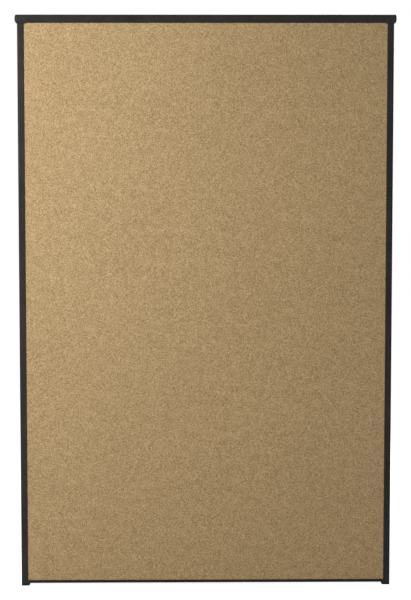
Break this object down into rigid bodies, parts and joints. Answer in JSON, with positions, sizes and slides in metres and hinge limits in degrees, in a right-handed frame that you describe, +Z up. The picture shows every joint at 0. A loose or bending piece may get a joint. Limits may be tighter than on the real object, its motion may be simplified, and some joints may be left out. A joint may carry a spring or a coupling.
{
  "type": "divider panel",
  "caption": "Upright fabric-faced divider panel with a charcoal top cap, slim post trims, a recessed base strip and screw levelling feet.",
  "frame": {"origin": "on the floor, under the middle of the panel", "axes": "+Z up the panel, +X along its width to the viewer's right, +Y through its thickness from front to back"},
  "size_m": [1.08, 0.064, 1.641],
  "materials": {
    "cap_extrusion": "satin",
    "moulded_end": "satin",
    "trim_extrusion": "satin",
    "foot_plastic": "matte",
    "frame_steel": "satin",
    "base_steel": "satin",
    "zinc_steel": "satin",
    "core_fill": "matte",
    "tackboard": "matte",
    "panel_fabric": "matte"
  },
  "bodies": {
    "panel": {"top_cap": "cap_extrusion", "cap_end_left": "moulded_end", "cap_end_right": "moulded_end", "cap_clips": "zinc_steel", "cap_clip_screws": "zinc_steel", "post_trim_left": "trim_extrusion", "post_trim_right": "trim_extrusion", "trim_clips_left": "zinc_steel", "trim_clips_right": "zinc_steel", "trim_clip_screws": "zinc_steel", "stile_left": "frame_steel", "stile_right": "frame_steel", "top_rail": "frame_steel", "mid_rail": "frame_steel", "bottom_rail": "frame_steel", "core_upper": "core_fill", "core_lower": "core_fill", "tackboard_front": "tackboard", "tackboard_back": "tackboard", "board_screws_front": "zinc_steel", "board_screws_back": "zinc_steel", "fabric_front": "panel_fabric", "fabric_back": "panel_fabric", "base_strip": "base_steel", "base_strip_screws": "zinc_steel", "post_shoe_left": "moulded_end", "post_shoe_right": "moulded_end", "leveller_nut_left": "zinc_steel", "leveller_nut_right": "zinc_steel", "rivet_nuts_left": "zinc_steel", "rivet_nuts_right": "zinc_steel"},
    "left_foot": {"foot_pad_left": "foot_plastic"},
    "left_screw": {"leveller_screw_left": "zinc_steel"},
    "right_foot": {"foot_pad_right": "foot_plastic"},
    "right_screw": {"leveller_screw_right": "zinc_steel"}
  },
  "joints": [
    {"name": "left_foot_lift", "type": "slide", "parent": "panel", "child": "left_foot", "axis": [0, 0, -1], "range_m": [0, 0.02]},
    {"name": "left_screw_turn", "type": "hinge", "parent": "left_foot", "child": "left_screw", "pos_m": [-0.5182, 0, 0.0155], "axis": [0, 0, -1], "range_deg": [0, 5760]},
    {"name": "right_foot_lift", "type": "slide", "parent": "panel", "child": "right_foot", "axis": [0, 0, -1], "range_m": [0, 0.02]},
    {"name": "right_screw_turn", "type": "hinge", "parent": "right_foot", "child": "right_screw", "pos_m": [0.5182, 0, 0.0155], "axis": [0, 0, -1], "range_deg": [0, 5760]}
  ],
  "couplings": [
    {"joint": "left_foot_lift", "follows": "left_screw_turn", "m_per_rad": 0.00019894},
    {"joint": "right_foot_lift", "follows": "right_screw_turn", "m_per_rad": 0.00019894}
  ]
}
